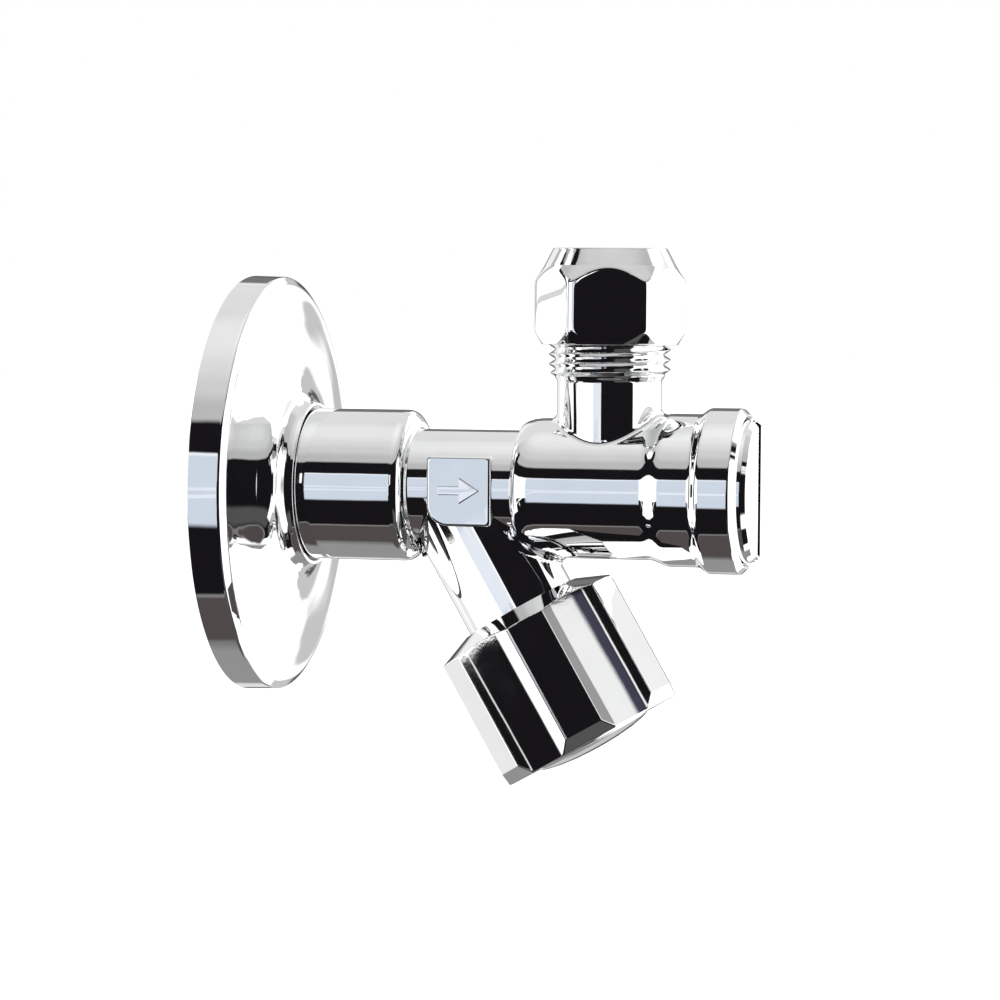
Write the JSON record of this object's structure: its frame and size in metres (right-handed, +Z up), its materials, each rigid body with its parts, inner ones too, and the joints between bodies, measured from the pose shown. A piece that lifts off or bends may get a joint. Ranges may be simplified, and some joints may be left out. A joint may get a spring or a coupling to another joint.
{
  "type": "angle stop valve",
  "caption": "Chrome angle stop valve with wall escutcheon, faceted handle, slotted strainer cap and upward compression outlet.",
  "frame": {"origin": "where the inlet axis meets the wall plane, at the back of the escutcheon", "axes": "+X out of the wall along the tube axis towards the strainer cap, +Z up along the outlet, the handle axis in the XZ plane pointing down and out"},
  "size_m": [0.0763, 0.0578, 0.0741],
  "materials": {
    "body_chrome": "polished",
    "escutcheon_chrome": "polished",
    "nut_chrome": "polished",
    "cap_chrome": "polished",
    "handle_chrome": "polished",
    "handle_cap_chrome": "polished",
    "brass": "machined",
    "steel": "satin",
    "rubber": "matte",
    "plastic": "matte",
    "ptfe": "matte",
    "fibre": "matte"
  },
  "bodies": {
    "body": {"valve_body": "body_chrome", "inlet_seal_ring": "ptfe", "bonnet": "brass", "bonnet_gasket": "fibre"},
    "escutcheon": {"wall_escutcheon": "escutcheon_chrome"},
    "ferrule": {"compression_ferrule": "brass"},
    "nut": {"compression_nut": "nut_chrome"},
    "strainer": {"filter_frame": "plastic", "filter_screen": "steel"},
    "cap": {"filter_cap": "cap_chrome", "filter_cap_o_ring": "rubber"},
    "handle": {"handle": "handle_chrome", "handle_cap": "handle_cap_chrome", "handle_screw": "steel", "spindle": "brass", "spindle_clip": "steel", "spindle_o_ring_inner": "rubber", "spindle_o_ring_outer": "rubber"},
    "plunger": {"valve_plunger": "brass", "seat_washer": "rubber", "washer_screw": "steel"}
  },
  "joints": [
    {"name": "handle_turn", "type": "hinge", "parent": "body", "child": "handle", "pos_m": [0.029, 0, 0], "axis": [0.5, 0, -0.866], "range_deg": [0, 900]},
    {"name": "plunger_slide", "type": "slide", "parent": "body", "child": "plunger", "axis": [0.5, 0, -0.866], "range_m": [0, 0.00312]},
    {"name": "escutcheon_slide", "type": "slide", "parent": "body", "child": "escutcheon", "axis": [1, 0, 0], "range_m": [0, 0.012]},
    {"name": "nut_travel", "type": "slide", "parent": "body", "child": "ferrule", "axis": [0, 0, 1], "range_m": [-0.00222, 0.00557]},
    {"name": "nut_spin", "type": "hinge", "parent": "ferrule", "child": "nut", "pos_m": [0.0509, 0, 0], "axis": [0, 0, 1], "range_deg": [-600, 1500]},
    {"name": "strainer_travel", "type": "slide", "parent": "body", "child": "strainer", "axis": [1, 0, 0], "range_m": [0, 0.00824]},
    {"name": "cap_spin", "type": "hinge", "parent": "strainer", "child": "cap", "pos_m": [0, 0, 0], "axis": [1, 0, 0], "range_deg": [0, 1980]}
  ],
  "couplings": [
    {"joint": "handle_turn", "follows": "plunger_slide", "rad_per_m": 5026.5},
    {"joint": "nut_spin", "follows": "nut_travel", "rad_per_m": 4699.5},
    {"joint": "cap_spin", "follows": "strainer_travel", "rad_per_m": 4188.8}
  ]
}
